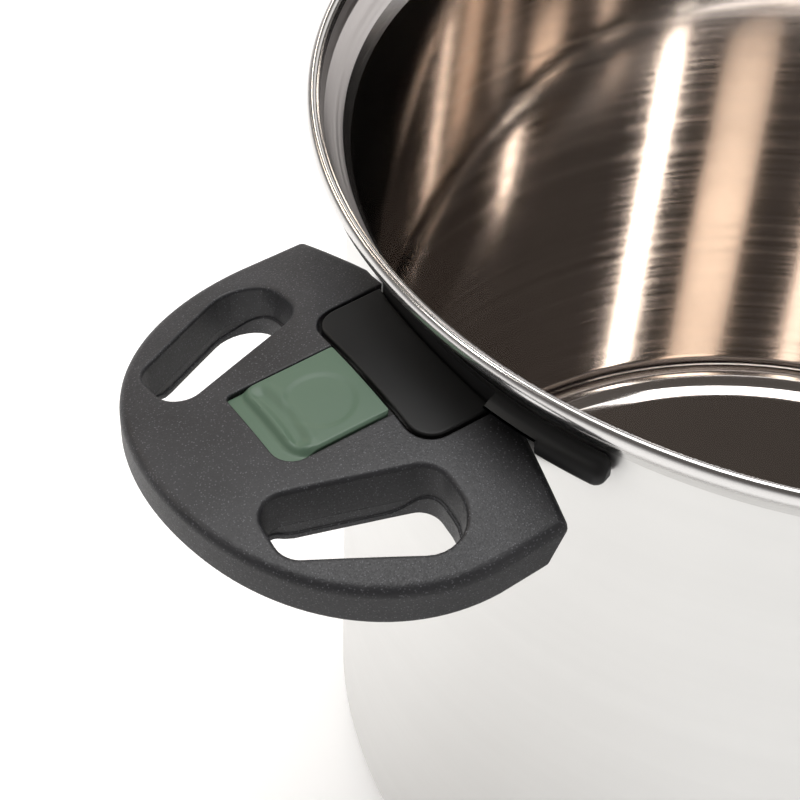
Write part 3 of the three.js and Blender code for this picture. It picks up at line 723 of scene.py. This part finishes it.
def lid_small_parts():
    gasket = turned(rounded(rectangle(112.6, 120.6, 2.2, 4.2, 0.6), 4), 192)
    piece("lid_gasket_ring", moved(gasket, LID), RUBBER, "lid", ["lid_gasket"], 50, False)

    def turned_at(at, corners, steps=4, segments=64):
        solid = turned(rounded(corners, steps, False), segments)
        return moved(solid, LID @ Matrix.Translation((*at, 0)))

    pipe = turned_at(REGULATOR_AT, [
        (0, 19, 0), (7, 19, 0.5), (7, 22.4, 0.5), (4, 22.4, 0), (4, 26.8, 0),
        (7.4, 26.8, 0.4), (7.4, 29, 0.5), (4, 29, 0.3), (2.6, 36, 0.5), (0, 36, 0),
    ])
    piece("steam_pipe_turned", pipe, BRIGHT, "lid", ["steam_pipe"], 40)
    bush = turned_at(INDICATOR_AT, [
        (2.5, 20, 0), (6.5, 20, 0.4), (6.5, 22.4, 0.4), (4, 22.4, 0), (4, 26.8, 0),
        (6.5, 26.8, 0.4), (6.5, 31, 0.8), (2.5, 31, 0.3),
    ])
    piece("indicator_bush_turned", bush, BRIGHT, "lid", ["indicator_bush"], 40)
    pin = turned_at(INDICATOR_AT, [
        (0, 18.4, 0), (3.4, 18.4, 0.3), (3.4, 19.6, 0.3), (2.1, 19.6, 0), (2.1, 33.4, 1.2), (0, 33.4, 0),
    ])
    piece("indicator_pin_turned", pin, RED, "indicator", ["indicator_pin"], 40)
    valve = turned_at(SAFETY_AT, [
        (0, 19.5, 0), (8, 19.5, 0.5), (8, 22, 0.5), (5, 22, 0), (5, 26.8, 0),
        (7.6, 26.8, 0.4), (7.6, 31, 0.9), (4.5, 33.5, 0.8), (0, 33.5, 0),
    ])
    piece("safety_valve_turned", valve, BRIGHT, "lid", ["safety_valve"], 40)
    weight = turned_at(REGULATOR_AT, [
        (0, 36.8, 0), (3.1, 36.6, 0), (4.6, 30.0, 0), (11, 30, 1.2), (11, 43, 3), (8.5, 45, 1), (0, 45, 0),
    ])
    x, y = REGULATOR_AT
    pointer = moved(box(x - 2, x + 2, y + 8, y + 15, 33, 41, 0.8), LID)
    piece("regulator_knob", merged(weight, pointer), BLACK, "regulator",
          ["pressure_regulator"], 40)


def lid_bridge():
    outline = spaced(rounded(rectangle(-50, 50, -27, 27, 16), 14), 2.5)
    hole = spaced(rounded(rectangle(-5.4, 5.4, -5.4, 5.4, 5.3), 10), 2)
    cap = plate(outline, [hole], 33.9, 42.5, 3.0, 0.2, 0.5, steps=7)
    walls = []
    for s in (-1, 1):
        run = [(-47, s * 10.2, 0), (-50, s * 10.2, 0), (-50, s * 27, 16), (50, s * 27, 16), (50, s * 10.2, 0),
               (47, s * 10.2, 0), (47, s * 24.6, 13.5), (-47, s * 24.6, 13.5)]
        walls.append(plate(spaced(rounded(run, 10), 3), [], 24.0, 34.2, 0.05, 0.3, steps=2))
    verts, faces = merged(cap, *walls)

    def resting(v):
        """The walls' lower edges follow the dome."""
        if v.z > 26:
            return v
        r = math.hypot(v.x, v.y)
        return Vector((v.x, v.y, max(v.z, 29.4 - 0.00105 * r * r)))

    solid = moved(([resting(v) for v in verts], faces), LID)
    piece("bridge_housing", solid, GRIP, "lid", ["lid_bridge"], 35)


def lid_jaw(side):
    section = rounded([
        (112.4, 6.1, 0.3), (124.4, 6.1, 0.8), (124.4, -2.3, 0.3), (118.9, -2.3, 0.5), (118.9, -3.7, 0.5),
        (126, -3.7, 1.4), (126, 7.7, 1.6), (112.4, 7.7, 0.5),
    ], 5)
    channel = turned(section, 96, 2 * JAW_REACH, -JAW_REACH)
    under = [(8, 31.2), (54, 31.2), (86, 24.2), (103, 16.8), (113.6, 6.6)]
    over = [(115.8, 7.4), (104.8, 18.4), (87, 26.2), (54.6, 33.2), (8, 33.2)]
    radii = [0.3, 10, 12, 10, 0.3, 0.3, 10, 12, 10, 0.3]
    arm = rib(spaced(rounded([(*p, r) for p, r in zip(under + over, radii)], 6), 4), 9)
    open_jaw = Matrix.Translation((JAW_TRAVEL if side == "right" else -JAW_TRAVEL, 0, 0))
    turn = Matrix.Rotation(0 if side == "right" else math.pi, 4, "Z")
    piece(f"clamp_jaw_{side}", moved(merged(channel, arm), LID @ open_jaw @ turn), SATIN, f"jaw_{side}",
          [f"lid_jaw_{side}"], 35)


def lid_knob():
    bell = turned(rounded([
        (0, 43.2, 0), (27, 43.2, 1.5), (29.5, 46, 2), (29.5, 50, 4), (27.6, 57, 5), (22.5, 60, 3), (0, 60, 0),
    ], 8, False), 160)
    verts, faces = sliced(bell, steps_between(-30, 30, 2), steps_between(-30, 30, 1.0))

    def pinched(v):
        """Two thumb recesses leave a grip bar across the knob."""
        height = v.z - KNOB_GRIP_Z
        return v if height < 0 else v - Vector((0, 0, height * smooth((abs(v.y) - 13.2) / 2.4)))

    solid = moved(([pinched(v) for v in verts], faces), LID)
    piece("knob_moulding", solid, BLACK, "lock_knob", ["lid_knob"], 35)


# ---------------------------------------------------------------- CAD nodes that stay, with better materials
def dress_nodes():
    slots = {entry["node"]: entry["material_slot"] for entry in frame["record"]["subparts"]}
    for name, obj in frame["nodes"].items():
        for index in range(len(obj.material_slots)):
            obj.material_slots[index].link = "OBJECT"
            obj.material_slots[index].material = SLOT_MATERIAL[slots[name]]


# ---------------------------------------------------------------- floor, light, camera, in metres
FLOOR_HALF = 6.0


def floor():
    material, nodes, links, shader = new_material("pale_floor")
    where = coordinates(nodes, links, (1, 1, 1))
    cloud = noise_node(nodes, links, where, 3, 2.0)
    links.new(colours(nodes, links, cloud, [(0.3, (0.90, 0.90, 0.90)), (0.7, (0.92, 0.92, 0.92))]),
              shader.inputs["Base Color"])
    shader.inputs["Roughness"].default_value = 0.8
    shader.inputs["Emission Color"].default_value = (1, 1, 1, 1)
    shader.inputs["Emission Strength"].default_value = 0.35
    mesh = bpy.data.meshes.new("floor")
    corners = rectangle(-FLOOR_HALF, FLOOR_HALF, -FLOOR_HALF, FLOOR_HALF, 0)
    mesh.from_pydata(corners, [], [(0, 1, 2, 3)])
    mesh.materials.append(material)
    obj = bpy.data.objects.new("floor", mesh)
    bpy.context.scene.collection.objects.link(obj)


def lamp(name, place, target, width, height, power, colour=(1, 1, 1)):
    data = bpy.data.lights.new(name, "AREA")
    data.shape = "RECTANGLE"
    data.size = width
    data.size_y = height
    data.energy = power
    data.color = colour
    obj = bpy.data.objects.new(name, data)
    obj.location = place
    obj.rotation_euler = (Vector(target) - Vector(place)).to_track_quat("-Z", "Y").to_euler()
    bpy.context.scene.collection.objects.link(obj)


def light():
    world = bpy.data.worlds.new("studio")
    world.use_nodes = True
    nodes = world.node_tree.nodes
    links = world.node_tree.links
    direction = nodes.new("ShaderNodeTexCoord")
    split = nodes.new("ShaderNodeSeparateXYZ")
    links.new(direction.outputs["Generated"], split.inputs["Vector"])
    overhead = (0.10, 0.092, 0.085)
    lit_side = colours(nodes, links, split.outputs["Z"], [
        (0.0, (1.0, 0.98, 0.97)), (0.28, (1.0, 0.97, 0.95)), (0.46, (0.17, 0.155, 0.145)), (1.0, overhead),
    ])
    dim_side = colours(nodes, links, split.outputs["Z"], [
        (0.0, (0.52, 0.51, 0.51)), (0.10, (0.34, 0.33, 0.33)), (0.30, (0.12, 0.11, 0.105)), (1.0, overhead),
    ])
    room = nodes.new("ShaderNodeMix")
    room.data_type = "RGBA"
    links.new(ramp(nodes, links, split.outputs["X"], 0.0, 1.0, -0.1, 0.5), room.inputs[0])
    links.new(dim_side, room.inputs[6])
    links.new(lit_side, room.inputs[7])
    links.new(room.outputs[2], nodes["Background"].inputs["Color"])
    nodes["Background"].inputs["Strength"].default_value = 1.1
    bpy.context.scene.world = world
    middle = (0, 0, 0.1)
    lamp("top_box", (0.1, 0.2, 2.2), middle, 1.5, 1.5, 40)
    lamp("side_box", (-1.49, 0.93, 1.58), middle, 0.30, 0.40, 7, (1.0, 0.97, 0.92))
    lamp("far_box", (-0.62, 1.79, 1.40), middle, 0.8, 0.35, 5, (1.0, 0.86, 0.72))
    lamp("right_box", (0.9, 1.7, 1.5), middle, 0.35, 0.6, 4, (1.0, 0.90, 0.80))


def camera():
    data = bpy.data.cameras.new("camera")
    data.sensor_width = 36
    data.lens = 97.70
    data.shift_x = 0.0106
    data.clip_start = 0.02
    obj = bpy.data.objects.new("camera", data)
    right = Vector((0.84239, -0.53847, 0.02091))
    up = Vector((0.35973, 0.59082, 0.72216))
    back = -Vector((0.40122, 0.60082, -0.69141))
    place = Vector((-0.28695, -0.24835, 0.26070 + RIM_Z * 0.001))
    turn = Matrix((right, up, back)).transposed().to_4x4()
    obj.matrix_world = Matrix.Translation(place) @ turn
    bpy.context.scene.collection.objects.link(obj)
    bpy.context.scene.camera = obj
    bpy.context.scene.view_settings.view_transform = "Standard"


dress_nodes()
pot()
pot_base()
for side in ("left", "right"):
    handle(side)
lid_shell()
lid_small_parts()
lid_bridge()
for side in ("left", "right"):
    lid_jaw(side)
lid_knob()
floor()
light()
camera()
